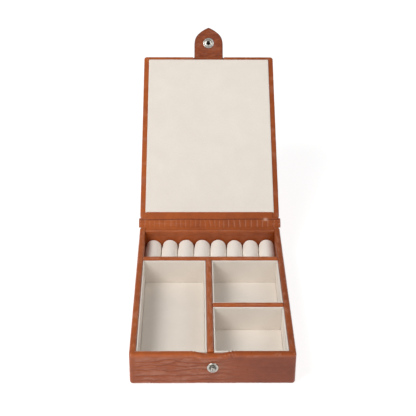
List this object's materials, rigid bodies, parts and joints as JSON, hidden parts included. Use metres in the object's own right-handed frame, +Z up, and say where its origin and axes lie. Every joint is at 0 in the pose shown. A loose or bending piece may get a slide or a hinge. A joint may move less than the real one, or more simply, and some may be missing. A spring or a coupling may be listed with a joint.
{
  "type": "jewellery case",
  "caption": "Shallow leather-covered jewellery case with a hinged lid, press-stud tab, divided lined trays and a bay of ring rolls.",
  "frame": {"origin": "centre of the underside, on the surface the case stands on", "axes": "+X to the right seen from the front, +Y from the front wall towards the hinge, +Z up"},
  "size_m": [0.1214, 0.3428, 0.147],
  "materials": {
    "croc_leather": "tan crocodile-embossed leather, satin",
    "smooth_leather": "tan fine-grained leather, satin",
    "cream_lining": "cream microsuede on card, matt",
    "ring_roll_fabric": "cream microsuede over foam, matt",
    "greyboard": "dense fibre board, hidden",
    "under_cover": "dark brown backing sheet, matt",
    "nickel": "polished nickel plate"
  },
  "bodies": {
    "base": {"bottom_cover": "under_cover", "floor_board": "greyboard", "front_board": "greyboard", "back_board": "greyboard", "left_board": "greyboard", "right_board": "greyboard", "front_leather": "croc_leather", "back_leather": "croc_leather", "left_leather": "croc_leather", "right_leather": "croc_leather", "cross_divider_board": "greyboard", "cross_divider_leather": "smooth_leather", "long_divider_board": "greyboard", "long_divider_leather": "smooth_leather", "short_divider_board": "greyboard", "short_divider_leather": "smooth_leather", "left_tray_wall_lining": "cream_lining", "left_tray_floor_pad": "cream_lining", "rear_right_tray_wall_lining": "cream_lining", "rear_right_tray_floor_pad": "cream_lining", "front_right_tray_wall_lining": "cream_lining", "front_right_tray_floor_pad": "cream_lining", "ring_bay_card": "greyboard", "ring_roll_1": "ring_roll_fabric", "ring_roll_2": "ring_roll_fabric", "ring_roll_3": "ring_roll_fabric", "ring_roll_4": "ring_roll_fabric", "ring_roll_5": "ring_roll_fabric", "ring_roll_6": "ring_roll_fabric", "ring_roll_7": "ring_roll_fabric", "ring_roll_8": "ring_roll_fabric", "snap_stud": "nickel", "snap_stud_rivet": "nickel", "hinge_strip_base": "croc_leather"},
    "lid": {"lid_board": "greyboard", "lid_leather": "croc_leather", "lid_filler_card": "greyboard", "lid_lining_card": "greyboard", "lid_lining_fabric": "cream_lining", "hinge_strip_lid": "croc_leather", "tab_root": "smooth_leather"},
    "tab": {"tab_outer_leather": "croc_leather", "tab_inner_leather": "smooth_leather", "snap_socket": "nickel", "snap_socket_spring": "nickel", "snap_cap": "nickel"}
  },
  "joints": [
    {"name": "lid_hinge", "type": "hinge", "parent": "base", "child": "lid", "pos_m": [0, 0.0878, 0.02819], "axis": [1, 0, 0], "range_deg": [0, 146.5]},
    {"name": "tab_fold", "type": "hinge", "parent": "lid", "child": "tab", "pos_m": [0, 0.23443, 0.12643], "axis": [1, 0, 0], "range_deg": [-33, 72], "stiffness_Nm_per_rad": 0.02}
  ]
}
